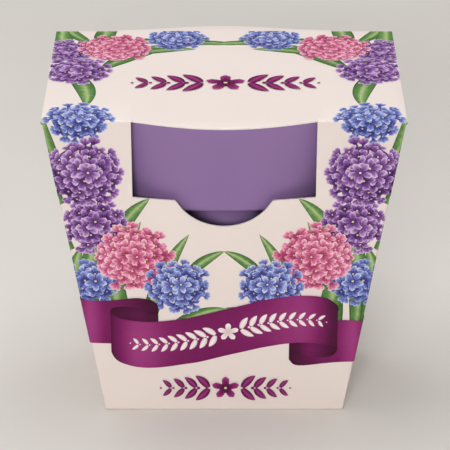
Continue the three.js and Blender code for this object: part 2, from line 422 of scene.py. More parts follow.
sleeve = {
    "frontTop": 127.15 * mm,
    "sideTop": 126.25 * mm,        # lower, where the dust flaps' folds begin
    "flapGap": 0.12 * mm,
    "cutterDepth": 8 * mm,
    "footRadius": 0.7 * mm, "footSteps": 4, "footTurn": 80,        # the folds it stands on
}


def windowOutline():
    centre, radius = foldLine - window["notchCentreDrop"], window["notchRadius"]
    turn = math.asin(window["notchHalfWide"] / radius)
    right = [(window["halfWide"], foldLine + window["above"]),
             (window["halfWide"], foldLine - window["sideDrop"]),
             (window["shoulderHalfWide"], foldLine - window["shoulderDrop"])]
    notch = []
    for i in range(window["notchSteps"] + 1):
        angle = turn * (1 - 2 * i / window["notchSteps"])
        notch.append((radius * math.sin(angle), centre - radius * math.cos(angle)))
    return right + notch + [(-x, v) for x, v in reversed(right)]


def outlinePlate(name, points, thickness):        # in the XY plane, as thick above as below it
    curve = bpy.data.curves.new(name, "CURVE")
    curve.dimensions = "2D"
    curve.fill_mode = "BOTH"
    curve.extrude = thickness / 2
    spline = curve.splines.new("POLY")
    spline.points.add(len(points) - 1)
    for point, (x, y) in zip(spline.points, points):
        point.co = (x, y, 0, 1)
    spline.use_cyclic_u = True
    plate = bpy.data.objects.new(name, curve)
    bpy.context.collection.objects.link(plate)
    makeActive(plate)
    bpy.ops.object.convert(target="MESH")
    return namePiece(name)


def placeOnFront(piece):
    foot = Matrix.Translation((0, -carton["baseHalfDeep"], 0))
    piece.matrix_world = foot @ Matrix.Rotation(creaseAngle, 4, "X")
    settle(piece)


def cutOut(piece, cutter):        # the cut faces get the card edge's finish
    giveMaterials(cutter, *cardMaterials)
    for face in cutter.data.polygons:
        face.material_index = cardMaterials.index(cardEdge)
    applyModifier(piece, "BOOLEAN", operation="DIFFERENCE", object=cutter, solver="EXACT")
    bpy.data.objects.remove(cutter)


def moveCorners(piece, outward, test, upward=0.0):        # all four apart, or together if negative
    for vertex in piece.data.vertices:
        if test(vertex.co):
            vertex.co.x += outward * math.copysign(1, vertex.co.x)
            vertex.co.y += outward * math.copysign(1, vertex.co.y)
            vertex.co.z += upward


def makeSleeve():
    deselectAll()
    bpy.ops.mesh.primitive_plane_add(size=2)
    piece = namePiece("cardWalls")
    piece.scale = (carton["baseHalfWide"], carton["baseHalfDeep"], 1)
    settle(piece)
    roundCorners(piece, everything, carton["cornerRadius"])
    edit(piece, "FACE", everything, (bpy.ops.mesh.delete, {"type": "ONLY_FACE"}))
    extrudeEdges(piece, everything, (0, 0, sleeve["frontTop"]))
    spread = sleeve["frontTop"] * math.tan(leanAngle)
    moveCorners(piece, spread, lambda co: co.z > mm)
    # the foot: the lowest ring rises to where the fold begins, and the fold is drawn from there
    radius = sleeve["footRadius"]
    moveCorners(piece, radius * math.tan(leanAngle), lambda co: co.z < mm, radius)
    inward, height = 0.0, radius
    for step in range(1, sleeve["footSteps"] + 1):
        turn = math.radians(sleeve["footTurn"] * step / sleeve["footSteps"])
        further, lower = radius * (1 - math.cos(turn)), radius * (1 - math.sin(turn))
        extrudeEdges(piece, lambda a, b: max(a.z, b.z) < height + tiny, (0, 0, lower - height))
        moveCorners(piece, inward - further, lambda co: co.z < (height + lower) / 2)
        inward, height = further, lower
    cleanUp(piece)
    thicken(piece)
    cutter = outlinePlate("windowCutter", windowOutline(), sleeve["cutterDepth"])
    cleanUp(cutter)
    placeOnFront(cutter)
    cutOut(piece, cutter)
    # the side walls stop lower between their corners, where the dust flaps' folds begin
    for hand in (-1, 1):
        deselectAll()
        bpy.ops.mesh.primitive_cube_add(size=2)
        cutter = namePiece("sideCutter")
        front = -dustFlap["frontStart"] - sleeve["flapGap"]
        rear = dustFlap["rearStart"] + sleeve["flapGap"]
        deep = sleeve["cutterDepth"]
        cutter.scale = (deep, (rear - front) / 2, deep)
        cutter.location = (hand * carton["topHalfWide"], (front + rear) / 2, sleeve["sideTop"] + deep)
        settle(cutter)
        cutOut(piece, cutter)
    smooth(piece, 25)
    return piece


cardWalls = makeSleeve()
markWorn(cardWalls, lambda co: 0.0)
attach(cardWalls, "carton")
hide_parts("front_panel", "back_panel", "left_panel", "right_panel")
print("walls made")


# the bottom panel sits between the walls

bottom = {
    "raised": 0.05 * mm,
    "inset": board + 0.1 * mm,
    "edgeRadius": 0.12 * mm,
}


def makeBottom():
    deselectAll()
    bpy.ops.mesh.primitive_cube_add(size=2, location=(0, 0, board / 2 + bottom["raised"]))
    piece = namePiece("cardBottom")
    inset = bottom["inset"]
    piece.scale = (carton["baseHalfWide"] - inset, carton["baseHalfDeep"] - inset, board / 2)
    settle(piece)
    edit(piece, "EDGE", everything,
         (bpy.ops.mesh.bevel, {"offset": bottom["edgeRadius"], "segments": 2}))
    giveMaterials(piece, *cardMaterials)
    for face in piece.data.polygons:
        face.material_index = 1 if face.normal.z > 0.9 else 0 if face.normal.z < -0.9 else 2
    return piece


cardBottom = makeBottom()
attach(cardBottom, "carton")
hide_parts("bottom_panel")


# the lid: a sheet with the tongue in front, the lift tab behind and the tuck flap folded down

lid = {
    "tongueReach": 6.0 * mm, "tongueDroop": 0.6 * mm, "tongueRows": 6, "tongueColumns": 10,
    "besideTongue": (35.8 * mm, 38.4 * mm),
    "tabHalfWide": 41 * mm, "tabReach": 4.6 * mm,
    "tuckHalfWide": 60 * mm, "tuckCorner": 8 * mm,
    "frontGap": 0.5 * mm,        # where the plate meets the front fold's strips
    "rearFold": 44.0 * mm, "rearRadius": 0.65 * mm,        # the rear fold's start and radius
    "plateRows": 5, "foldRows": 5,
    "foldDeep": 0.9 * mm,        # reaches past the rear fold's lowest row
    "edgeRadius": 0.1 * mm,
}
lidFront = hinge.y + creaseRun + lid["frontGap"]
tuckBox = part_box("lid_tuck_flap")


def tabBump(x):
    inside = abs(x) < lid["tabHalfWide"]
    return lid["tabReach"] * (0.5 + 0.5 * math.cos(math.pi * x / lid["tabHalfWide"])) if inside else 0.0


def lidColumns():
    steps = lid["tongueColumns"]
    half = [window["halfWide"] * i / steps for i in range(1, steps + 1)]
    half += [*lid["besideTongue"], lid["tabHalfWide"], lid["tuckHalfWide"], carton["topHalfWide"]]
    return [-x for x in reversed(half)] + [0.0] + half


def lidRows():        # along the sheet: each row's stretch, and how far along that stretch it is
    rows = [("tongue", 1 - i / lid["tongueRows"]) for i in range(lid["tongueRows"] + 1)]
    rows += [("plate", i / lid["plateRows"]) for i in range(lid["plateRows"] + 1)]
    rows += [("fold", i / lid["foldRows"]) for i in range(1, lid["foldRows"] + 1)]
    return rows + [("tuck", 1.0)]


def lidPoint(x, kind, share):
    if kind == "tongue":
        across = min(1.0, abs(x) / window["halfWide"])
        forward = lid["tongueReach"] * (1 - across * across) * share
        droop = lid["tongueDroop"] * (forward / lid["tongueReach"]) ** 2
        return Vector((x, hinge.y - forward, hinge.z - droop))
    if kind == "plate":
        return Vector((x, lidFront + (lid["rearFold"] - lidFront) * share, hinge.z))
    radius = lid["rearRadius"]
    turn = creaseAngle * (share if kind == "fold" else 1)
    y = lid["rearFold"] + radius * math.sin(turn)
    z = hinge.z - radius + radius * math.cos(turn)
    if kind == "tuck":
        drop = z - tuckBox[0].z
        z = z - drop * share
        y = y - drop * share * math.tan(leanAngle)
    return Vector((x, y, z))


def makeLid():
    columns, rows = lidColumns(), lidRows()
    piece = newGrid("cardLid", len(columns), len(rows),
                    lambda row, column: lidPoint(columns[column], *rows[row]))
    rear = lid["rearFold"]
    tabSide, foldSide = lid["tabHalfWide"] + tiny, lid["tuckHalfWide"] - tiny

    def isGone(centre):
        across = abs(centre.x)
        beside = across > window["halfWide"] + tiny and centre.y < lidFront - tiny
        folded = centre.y > 0 and centre.z < hinge.z - tiny
        foldMiddle = folded and across < lid["tabHalfWide"] and centre.z > hinge.z - lid["foldDeep"]
        return beside or foldMiddle or folded and across > lid["tuckHalfWide"]

    removeFaces(piece, isGone)

    # the rear edge between the folds runs on as the lift tab; its corners reach as far as the folds
    def isRear(a, b):
        level = min(a.z, b.z) > hinge.z - tiny and min(a.y, b.y) > rear - tiny
        return level and (max(abs(a.x), abs(b.x)) < tabSide or min(abs(a.x), abs(b.x)) > foldSide)

    extrudeEdges(piece, isRear, (0, lid["rearRadius"], 0))
    foldLow = hinge.z - lid["rearRadius"] * (1 + math.sin(leanAngle))
    for vertex in piece.data.vertices:
        x, y, z = vertex.co
        if z > hinge.z - tiny and y > rear + lid["rearRadius"] - tiny and abs(x) < tabSide:
            vertex.co.y = carton["topHalfDeep"] + tabBump(x)
        elif y > 0 and abs(z - foldLow) < 5 * tiny and abs(x) < lid["tabHalfWide"]:
            vertex.co.z -= tabBump(x)
            vertex.co.y -= tabBump(x) * math.tan(leanAngle)
    low = tuckBox[0].z + tiny
    roundCorners(piece, lambda co: co.z < low and abs(co.x) > foldSide, lid["tuckCorner"])
    thicken(piece)
    applyModifier(piece, "BEVEL", width=lid["edgeRadius"], segments=2,
                  limit_method="ANGLE", angle_limit=math.radians(60))
    smooth(piece)
    return piece


def markLidWear(co):        # the rear folds are scuffed
    return 1.0 if co.y > lid["rearFold"] and co.z < hinge.z and abs(co.x) > lid["tabHalfWide"] else 0.0


cardLid = makeLid()
markWorn(cardLid, markLidWear)
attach(cardLid, "lid")
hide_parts("lid_panel", "lid_tuck_flap")


# the fold between the front wall and the lid, on each side of the window

frontFold = {
    "flat": 0.48 * mm,        # onto the lid
    "lapped": 0.02 * mm,        # over the wall
    "sideGap": 0.05 * mm,
    "bendLow": (0.1 * mm, 0.75 * mm),        # from the hinge: inwards and down
    "bendHigh": (creaseRun, 0.05 * mm),
}


def foldRow(row):        # how far back and how high each row lies, from the wall up to the lid
    steps = carton["creaseSteps"]
    if row == steps + 2:
        return hinge.y + creaseRun + frontFold["flat"], hinge.z
    y, z = creasePoint(creaseAngle * (1 - max(0, row - 1) / steps), 0)
    lapped = 0 if row else frontFold["lapped"]
    return y + lapped * math.sin(leanAngle), z - lapped


def makeFrontFolds():
    strips = []
    inner = window["halfWide"] + frontFold["sideGap"]
    outer = carton["topHalfWide"] - frontFold["sideGap"]
    for ends in ((-outer, -inner), (inner, outer)):
        piece = newGrid("frontFold", 2, carton["creaseSteps"] + 3,
                        lambda row, column: (ends[column], *foldRow(row)))
        thicken(piece)
        smooth(piece)
        strips.append(piece)
    return joinPieces(strips, "frontFolds")


frontFolds = makeFrontFolds()
markWorn(frontFolds, lambda co: 1.0)
foldStart, foldEnd = ((0, hinge.y + inward, hinge.z - down)
                      for inward, down in (frontFold["bendLow"], frontFold["bendHigh"]))
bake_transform(frontFolds)
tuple(foldStart)
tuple(foldEnd)
print("lid made")


# the dust flaps, each with its own fold at the top of a side wall

def makeDustFlap(name, node, hand):
    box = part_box(node)
    top = box[1].z
    free = box[0].x if hand > 0 else -box[1].x
    radius = carton["creaseRadius"]
    wallAtTop = carton["topHalfWide"] - (carton["height"] - top) * math.tan(leanAngle)
    bendX, bendZ = wallAtTop - creaseRun, top - radius
    bent, flat, columns = dustFlap["foldRows"], dustFlap["flatRows"], dustFlap["columns"]

    def place(row, column):
        if row <= bent:
            turn = creaseAngle * (1 - row / bent)
            x, z, inward = bendX + radius * math.sin(turn), bendZ + radius * math.cos(turn), 0.0
        else:
            inward = (bendX - free) * (row - bent) / flat
            x, z = bendX - inward, top
        front = -dustFlap["frontStart"] + inward
        rear = dustFlap["rearStart"] - dustFlap["rearCut"] * inward / (bendX - free)
        return hand * x, front + (rear - front) * column / columns, z

    piece = newGrid(name, columns + 1, bent + flat + 1, place)
    faceUp(piece)        # its printed face
    thicken(piece)
    smooth(piece)
    return piece


for name, node, hand, body in (
    ("leftDustFlap", "left_dust_flap", -1, "left_flap"),
    ("rightDustFlap", "right_dust_flap", 1, "right_flap"),
):
    flap = makeDustFlap(name, node, hand)
    markWorn(flap, lambda co: 1.0 if abs(co.x) > dustFlap["wornFrom"] else 0.0)
    side = carton["topHalfWide"]
    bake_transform(flap)
    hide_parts(node)
print("dust flaps made")


# the flaps inside the carton are carried over

for node in ("glue_flap", "bottom_tuck_flap", "bottom_left_flap", "bottom_right_flap"):
    giveMaterials(frame["nodes"][node], cardInside)


# the bulb vase: a turned section, pressed to a soft square towards the cup

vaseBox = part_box("bulb_vase")
vase = {
    "base": vaseBox[0].z,
    "top": vaseBox[1].z,
    "footHalf": 22 * mm,
    "bellyHalf": 22.8 * mm, "bellyHeight": 13 * mm,
    "waistHalf": 13 * mm, "waistHeight": 75 * mm,
    "flankFullness": 1.4 * mm,
    "cupLow": 83 * mm, "cupDepth": 11 * mm,
    "cupRootHalf": 16 * mm, "cupLowHalf": 37.6 * mm,
    "cupShelf": 88.2 * mm, "cupBend": 1.8 * mm, "cupTaper": 0.25 * mm,
    "mouthHalf": vaseBox[1].y, "mouthBand": 5 * mm,
    "wall": 1.8 * mm, "floor": 2.4 * mm,
    "waistRoundness": 2.2, "cupRoundness": 3.3, "mouthRoundness": 4.6, "squaredBy": 16 * mm,
    "cupStretch": 1.1, "mouthStretch": 1.13,
    "footEase": 2 * mm, "lipRadius": 0.7 * mm,
    "flare": (1 * mm, 2.6 * mm),        # of the waist under the cup: outwards and down
    "segments": 128, "flankSteps": 8, "bendSteps": 8, "edgeSteps": 5,
}


def arcPoints(centreX, centreZ, radius, start, end, steps):
    turns = [math.radians(start + (end - start) * i / steps) for i in range(steps + 1)]
    return [(centreX + radius * math.cos(t), centreZ + radius * math.sin(t)) for t in turns]


def smoothThrough(points, steps):        # a smooth curve through the points
    ends = [points[0]] + points + [points[-1]]
    result = []
    for i in range(1, len(ends) - 2):
        a, b, c, d = (Vector(p) for p in ends[i - 1:i + 3])
        for k in range(steps):
            t = k / steps
            spot = 0.5 * (2 * b + (c - a) * t + (2 * a - 5 * b + 4 * c - d) * t * t
                          + (3 * b - a - 3 * c + d) * t ** 3)
            result.append(tuple(spot))
    return result + [tuple(points[-1])]


def flankPoints(inset):
    middle = (vase["bellyHalf"] + vase["waistHalf"]) / 2 + vase["flankFullness"]
    points = [
        (vase["footHalf"] - inset, vase["base"] + vase["footEase"] + inset),
        (vase["bellyHalf"] - inset, vase["bellyHeight"]),
        (middle - inset, (vase["bellyHeight"] + vase["waistHeight"]) / 2),
        (vase["waistHalf"] - inset, vase["waistHeight"]),
        (vase["waistHalf"] - inset + vase["flare"][0], vase["cupLow"] - vase["flare"][1]),
    ]
    return smoothThrough(points, vase["flankSteps"])


def bowlPoints(inset):
    bend = vase["cupBend"]
    centre = vase["cupLowHalf"] - vase["cupTaper"] - inset - bend, vase["cupShelf"] + inset + bend
    points = [(vase["cupRootHalf"] - inset, vase["cupLow"] + inset)]
    points += arcPoints(*centre, bend, -75, -3, vase["bendSteps"])
    return points + [(vase["cupLowHalf"] - inset, vase["cupLow"] + vase["cupDepth"])]


def vaseSection():
    lip, ease, wall, steps = vase["lipRadius"], vase["footEase"], vase["wall"], vase["edgeSteps"]
    outer, band, foot = vase["mouthHalf"], vase["top"] - vase["mouthBand"], vase["footHalf"] - ease
    section = [(0, vase["base"])]
    section += arcPoints(foot, vase["base"] + ease, ease, -90, -15, steps)
    section += flankPoints(0) + bowlPoints(0)
    section += [(outer, band)]
    section += arcPoints(outer - lip, vase["top"] - lip, lip, 0, 90, steps)
    section += arcPoints(outer - wall + lip, vase["top"] - lip, lip, 90, 180, steps)
    section += [(outer - wall, band)]
    section += bowlPoints(wall)[::-1] + flankPoints(wall)[::-1]
    inside = vase["base"] + vase["floor"]
    return section + [(foot - wall, inside), (0, inside)]


def squareUp(piece):
    bowlTop = vase["cupLow"] + vase["cupDepth"]
    for vertex in piece.data.vertices:
        x, y, z = vertex.co
        reach = math.hypot(x, y)
        if reach < tiny:
            continue
        upBowl = min(1, max(0, (z - vase["cupLow"]) / vase["cupDepth"]))
        upCup = min(1, max(0, (z - bowlTop) / (vase["top"] - bowlTop)))
        squared = min(1, max(0, (z - bowlTop) / vase["squaredBy"]))
        roundness = vase["waistRoundness"] + (vase["cupRoundness"] - vase["waistRoundness"]) * upBowl
        roundness += (vase["mouthRoundness"] - vase["cupRoundness"]) * squared
        stretch = 1 + (vase["cupStretch"] - 1) * upBowl
        stretch += (vase["mouthStretch"] - vase["cupStretch"]) * upCup

        def soft(share):
            return math.copysign(abs(share) ** (2 / roundness), share)

        vertex.co = (stretch * reach * soft(x / reach), reach * soft(y / reach), z)


def makeVase():
    section = vaseSection()
    deselectAll()
    bpy.ops.mesh.primitive_circle_add(vertices=len(section), fill_type="NOTHING")
    piece = namePiece("bulbVase")
    for vertex, (half, z) in zip(piece.data.vertices, section):
        vertex.co = (half, 0, z)
    # the circle's side on the axis goes, and the rest is turned
    edit(piece, "EDGE", lambda a, b: max(a.x, b.x) < tiny / 10,
         (bpy.ops.mesh.delete, {"type": "EDGE"}))
    spinRound(piece, vase["segments"], 2 * math.pi)
    cleanUp(piece)
    squareUp(piece)
    giveMaterials(piece, vasePlastic)
    smooth(piece, 40)
    return piece


bulbVase = makeVase()
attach(bulbVase, "carton")
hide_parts("bulb_vase")
print("vase made")


# the print: each motif is a thin layer of ink, drawn flat and then laid on the folded card

inkColours = {
    # dark, middle and light tone of each ink, and how blotchy it is
    "violetInk": (rgb(66, 32, 92), rgb(142, 92, 162), rgb(222, 194, 230), 0.55),
    "pinkInk": (rgb(160, 52, 96), rgb(222, 122, 158), rgb(250, 212, 222), 0.5),
    "blueInk": (rgb(54, 58, 128), rgb(122, 134, 202), rgb(212, 220, 242), 0.55),
    "leafInk": (rgb(34, 76, 38), rgb(92, 134, 70), rgb(174, 196, 134), 0.6),
    "eyeInk": (rgb(90, 40, 70), rgb(224, 196, 150), rgb(246, 234, 200), 0.3),
    "plumInk": (rgb(58, 10, 38), rgb(124, 28, 94), rgb(166, 64, 130), 0.12),
    "creamInk": (rgb(216, 190, 196), rgb(240, 224, 222), rgb(252, 246, 244), 0.2),
}
inkNames = list(inkColours)
inkLook = {
    "roughness": 0.48, "rough": ((0.0, 0.56), (0.5, 0.68)), "specular": 0.15,
    "blots": (620, 4, 0.65), "tones": (0.02, 0.5, 0.98), "bump": (0.2, 0.03 * mm),
}


def makeInk(name):
    *colours, blotchy = inkColours[name]
    material, tree, shader = newMaterial(name, inkLook["roughness"])
    blots = math2(tree, "SUBTRACT", noise(tree, inkLook["blots"]), 0.5)
    washed = math2(tree, "MULTIPLY", blots, blotchy)
    washed = math2(tree, "ADD", attribute(tree, "shade"), washed)
    setInputs(tree, shader, {
        "Base Color": ramp(tree, washed, list(zip(inkLook["tones"], colours))),
        "Roughness": ramp(tree, blots, inkLook["rough"]),
        "Normal": bump(tree, noise(tree, cardLook["fibre"]), *inkLook["bump"]),
        "Specular IOR Level": inkLook["specular"],
    })
    return material


inks = [makeInk(name) for name in inkNames]


def giveInk(piece, name, shades):        # one ink all over, and a shade for each point
    giveMaterials(piece, *inks)
    for face in piece.data.polygons:
        face.material_index = inkNames.index(name)
    values = piece.data.attributes.new("shade", "FLOAT", "POINT")
    values.data.foreach_set("value", shades)


# place gives each point's spot and shade from its row and column
def inkedGrid(name, ink, columns, rows, place):
    shades = []

    def put(row, column):
        u, v, shade = place(row, column)
        shades.append(shade)
        return u * mm, v * mm, 0

    piece = newGrid(name, columns, rows, put)
    giveInk(piece, ink, shades)
    return piece


# reach, if given, shapes the rim by its angle
def makeDot(radius, corners, ink, shade, reach=None):
    deselectAll()
    bpy.ops.mesh.primitive_circle_add(vertices=corners, radius=radius * mm, fill_type="NGON")
    piece = namePiece("dot")
    for vertex in piece.data.vertices:
        vertex.co *= reach(math.atan2(vertex.co.x, vertex.co.y)) if reach else 1
    giveInk(piece, ink, [shade] * corners)
    return piece


# a motif's place in a flat drawing, in millimetres
def at(u, v, degrees=0.0, scale=1.0, height=0.0):
    turn = Matrix.Rotation(math.radians(degrees), 4, "Z")
    place = Matrix.Translation((u * mm, v * mm, height * mm))
    return place @ turn @ Matrix.Diagonal((scale, scale, 1, 1))


def copyOf(master, matrix, shadeShift=0.0):
    copy = master.copy()
    copy.data = master.data.copy()
    bpy.context.collection.objects.link(copy)
    copy.data.transform(matrix)
    if matrix.determinant() < 0:
        copy.data.flip_normals()
    if shadeShift:
        for value in copy.data.attributes["shade"].data:
            value.value += shadeShift
    return copy


def discard(*pieces):
    for piece in pieces:
        bpy.data.objects.remove(piece)


# heights over the card in millimetres: no two surfaces that cross may be level
layers = {
    "leafLow": 0.010, "leafStep": 0.002,
    "headLow": 0.040, "headStep": 0.090,
    "mirrorStep": 0.001,
    "backing": -0.003,
    "bellStep": 0.002, "floretLow": 0.038, "floretStep": 0.0015, "thin": 0.0005,
    "tails": 0.302, "curls": 0.306, "band": 0.310, "ornament": 0.314,
}
floret = {
    "petals": 5,
    "length": 4.4,        # of a petal, in millimetres
    "rowPlaces": (0.05, 0.26, 0.53, 0.8, 1.0), "tipNotch": 0.04,
    "rowHalves": (0.05, 0.14, 0.26, 0.25, 0.03),
    "rowShades": (0.02, 0.34, 0.6, 0.86, 1.04), "veinShade": -0.3,
    "eye": 0.11, "eyeShade": 0.6,
    "starReach": 0.66, "starDepth": 0.24,
}
bell = {
    "petalStart": 0.2, "petalSize": 0.86, "angle": 34,
    "tubeStart": 0.1, "tube": (0.8, 1.9), "deepShade": 0.16,
    # round a head
    "perRadius": 1.2, "drift": 0.28, "reach": (0.72, 0.84), "lean": 16,
    "sizes": (0.72, 0.95), "tones": (-0.12, 0.08),
}
head = {
    "backing": 0.82, "backingCorners": 40,
    "perArea": 0.158,        # florets in a head, over its radius squared in millimetres
    "spread": 0.86,        # how far out the outermost floret's middle lies
    "squeeze": 0.42,        # how much the outer florets turn away
    "drift": 8, "sizes": (0.9, 1.1), "rimShrink": 0.12,
    "light": 0.12, "lightFrom": (-0.6, 0.8), "scatter": 0.15, "rimShade": 0.05,
}


def makePetal(ink):
    length = floret["length"]
    last = len(floret["rowPlaces"]) - 1

    def place(row, column):
        along, shade = floret["rowPlaces"][row], floret["rowShades"][row]
        if column == 1 and row == last:
            along -= floret["tipNotch"]
        elif column == 1:
            shade += floret["veinShade"]
        return floret["rowHalves"][row] * (column - 1) * length, along * length, shade

    return inkedGrid("petal", ink, 3, last + 1, place)


def makeFloret(ink):        # seen from the front: petals round an eye, over a small dark star
    petals = makePetal(ink)
    count = floret["petals"]
    spinRound(petals, count - 1, 2 * math.pi * (count - 1) / count, True)
    eye = makeDot(floret["eye"] * floret["length"], 6, "eyeInk", floret["eyeShade"])
    eye.data.transform(at(0, 0, height=layers["thin"]))
    star = makeDot(floret["length"], 4 * count, ink, 0.0,
                   lambda angle: floret["starReach"] + floret["starDepth"] * math.cos(count * angle))
    star.data.transform(at(0, 0, height=-layers["thin"]))
    return joinPieces([petals, eye, star], "floret")


def makeBell(ink):        # a floret seen from the side: overlapping petals on a short tube
    petal = makePetal(ink)
    start, tubeStart = bell["petalStart"] * floret["length"], bell["tubeStart"] * floret["length"]
    parts = []
    for turn, level in ((-1, 0), (1, 1), (0, 2)):
        place = at(0, start, turn * bell["angle"], bell["petalSize"], level * layers["thin"])
        parts.append(copyOf(petal, place))
    discard(petal)
    tube = makeDot(1.0, 12, ink, bell["deepShade"])
    stretch = Matrix.Diagonal((*bell["tube"], 1, 1))
    tube.data.transform(at(0, tubeStart, height=-layers["thin"]) @ stretch)
    return joinPieces([*parts, tube], "bell")


# florets in a spiral, turned away towards the rim, with bells around
def makeHead(name, ink, radius, seed):
    draw = random.Random(seed)
    front, aside = makeFloret(ink), makeBell(ink)
    backing = makeDot(radius * head["backing"], head["backingCorners"], ink, bell["deepShade"])
    backing.data.transform(at(0, 0, height=layers["backing"]))
    parts = [backing]
    bells = round(radius * bell["perRadius"])
    for i in range(bells):
        angle = 360 * (i + draw.uniform(-bell["drift"], bell["drift"])) / bells
        reach = radius * draw.uniform(*bell["reach"])
        x, y = -reach * math.sin(math.radians(angle)), reach * math.cos(math.radians(angle))
        lean = angle + draw.uniform(-bell["lean"], bell["lean"])
        place = at(x, y, lean, draw.uniform(*bell["sizes"]), layers["bellStep"] * i)
        parts.append(copyOf(aside, place, draw.uniform(*bell["tones"])))
    count = round(head["perArea"] * radius * radius)
    golden = math.degrees(math.pi * (3 - math.sqrt(5)))
    lightX, lightY = head["lightFrom"]
    for i in reversed(range(count)):
        out = math.sqrt((i + 0.5) / count)
        angle = i * golden + draw.uniform(-head["drift"], head["drift"])
        reach = radius * head["spread"] * out
        x, y = reach * math.cos(math.radians(angle)), reach * math.sin(math.radians(angle))
        light = head["light"] * (lightX * x + lightY * y) / radius
        light += draw.uniform(-1, 1) * head["scatter"] - head["rimShade"] * out
        turnedAway = Matrix.Diagonal((1 - head["squeeze"] * out ** 2, 1, 1, 1))
        turn = Matrix.Rotation(draw.uniform(0, 2 * math.pi), 4, "Z")
        height = layers["floretLow"] + layers["floretStep"] * (count - i)
        size = draw.uniform(*head["sizes"]) * (1 - head["rimShrink"] * out)
        parts.append(copyOf(front, at(x, y, angle, size, height) @ turnedAway @ turn, light))
    discard(front, aside)
    return joinPieces(parts, name)


leaf = {
    "rows": 15,
    "columns": (-1.0, -0.84, -0.4, -0.07, 0.07, 0.4, 0.84, 1.0),
    "shades": (0.0, 0.34, 0.5, 0.92, 0.84, 0.56, 0.42, 0.08),
    "foot": 0.12,        # how far into the swell of its width a leaf begins
    "fullness": 0.7, "tip": 0.01,
    "gain": 0.24,        # lighter from foot to tip
}


# a lance leaf from its foot at the origin up along v; the bend carries its tip to the right
def makeLeaf(name, length, width, bend, ink="leafInk"):
    foot, last = leaf["foot"], leaf["rows"] - 1

    def place(row, column):
        along = row / last
        swell = leaf["tip"]
        if row < last:
            swell = math.sin(math.pi * (foot + (1 - foot) * along)) ** leaf["fullness"]
        heading = math.radians(bend) * along ** 1.5
        across = leaf["columns"][column] * width / 2 * swell
        u = length * math.radians(bend) * along ** 2.5 / 2.5 + across * math.cos(heading)
        v = length * along - across * math.sin(heading)
        return u, v, leaf["shades"][column] + leaf["gain"] * (along - 0.5)

    return inkedGrid(name, ink, len(leaf["columns"]), leaf["rows"], place)


masters = {
    "violetLarge": makeHead("violetLarge", "violetInk", 14, 3),
    "violetSmall": makeHead("violetSmall", "violetInk", 11.5, 4),
    "pinkLarge": makeHead("pinkLarge", "pinkInk", 14.5, 5),
    "blueLarge": makeHead("blueLarge", "blueInk", 12, 8),
    "blueSmall": makeHead("blueSmall", "blueInk", 9, 9),
    "long": makeLeaf("longLeaf", 50, 7, 26),
    "broad": makeLeaf("broadLeaf", 36, 8.5, 38),
    "short": makeLeaf("shortLeaf", 22, 5.6, 34),
}
print("flower heads drawn")


# the left half of each drawing; its right half is the mirror image
drawings = {
    # a leaf's kind, u and v in millimetres, degrees and size, and how high a head lies over others
    "front": {
        "leaves": [
            ("long", -49, 37, 5, 1.05), ("long", -42, 37, -3, 1.0), ("broad", -53, 38, 14, 1.0),
            ("long", -29, 37, -10, 0.92), ("short", -20, 38, -52, 1.0), ("broad", -36, 38, 20, 0.95),
            ("short", -40, 78, -22, 1.0), ("short", -56, 74, 34, 1.0), ("short", -59, 94, 30, 1.0),
            ("short", -14, 62, -38, 0.8), ("short", -60, 112, 26, 0.9)],
        "heads": [
            ("blueLarge", -52, 132.5, 0, 1.0, 0), ("violetLarge", -50.5, 107.5, 0, 1.0, 1),
            ("violetSmall", -47.5, 85, 70, 1.0, 0), ("blueSmall", -49, 59.5, 20, 1.0, 0),
            ("pinkLarge", -33.5, 70.5, 20, 1.0, 1), ("blueLarge", -17, 57.5, 40, 0.96, 2)],
    },
    "lid": {
        "leaves": [
            ("broad", -57, 46, 207, 0.9), ("long", -60, 38, -10, 0.9), ("broad", -44, 52, -34, 1.0),
            ("short", -33, 66, -66, 1.0), ("long", -41, 78, -84, 0.9), ("short", -62, 56, 10, 0.9),
            ("short", -52, 78, 40, 1.0), ("short", -14, 76, -78, 0.8), ("broad", -46, 70, 4, 0.95),
            ("broad", -56, 62, 24, 0.95)],
        "heads": [
            ("violetSmall", -54.5, 48, 15, 1.06, 1), ("violetSmall", -60, 69, 50, 0.9, 0),
            ("pinkLarge", -41, 71, 90, 0.94, 2), ("blueLarge", -18, 81, 10, 0.92, 1)],
    },
    "side": {
        "leaves": [
            ("long", -10, 37, 14, 1.05), ("broad", -24, 38, 24, 0.95), ("short", -5, 74, -20, 1.0),
            ("long", -4, 37, -3, 0.9)],
        "heads": [
            ("violetLarge", -16.5, 98, 0, 0.98, 0), ("pinkLarge", -20, 73, 40, 0.9, 1),
            ("blueLarge", 0, 62, 10, 0.95, 2)],
    },
    "back": {
        "leaves": [
            ("long", -46, 37, 8, 1.05), ("long", -34, 37, -4, 1.0), ("broad", -52, 38, 20, 1.0),
            ("long", -16, 37, -22, 0.9), ("short", -50, 78, 34, 1.0), ("broad", -24, 38, 20, 0.9)],
        "heads": [
            ("violetLarge", -46, 101, 0, 1.0, 0), ("pinkLarge", -38, 77, 20, 0.96, 1),
            ("blueLarge", -46, 58, 40, 0.9, 0), ("violetSmall", -22, 62, 90, 1.0, 2)],
    },
}


def drawMotifs(drawing, offset=0.0):
    leaves = [(*motif, layers["leafLow"] + layers["leafStep"] * i)
              for i, motif in enumerate(drawings[drawing]["leaves"])]
    heads = [(*motif, layers["headLow"] + layers["headStep"] * level)
             for *motif, level in drawings[drawing]["heads"]]
    parts = []
    for kind, u, v, degrees, size, height in leaves + heads:
        for hand in ((1, -1) if u else (1,)):
            lifted = height if hand > 0 else height + layers["mirrorStep"]
            place = Matrix.Diagonal((hand, 1, 1, 1)) @ at(u, v + offset, degrees, size, lifted)
            parts.append(copyOf(masters[kind], place))
    return parts


# the ribbon: each stretch lists u, its lower and upper edge in millimetres, and how light it is

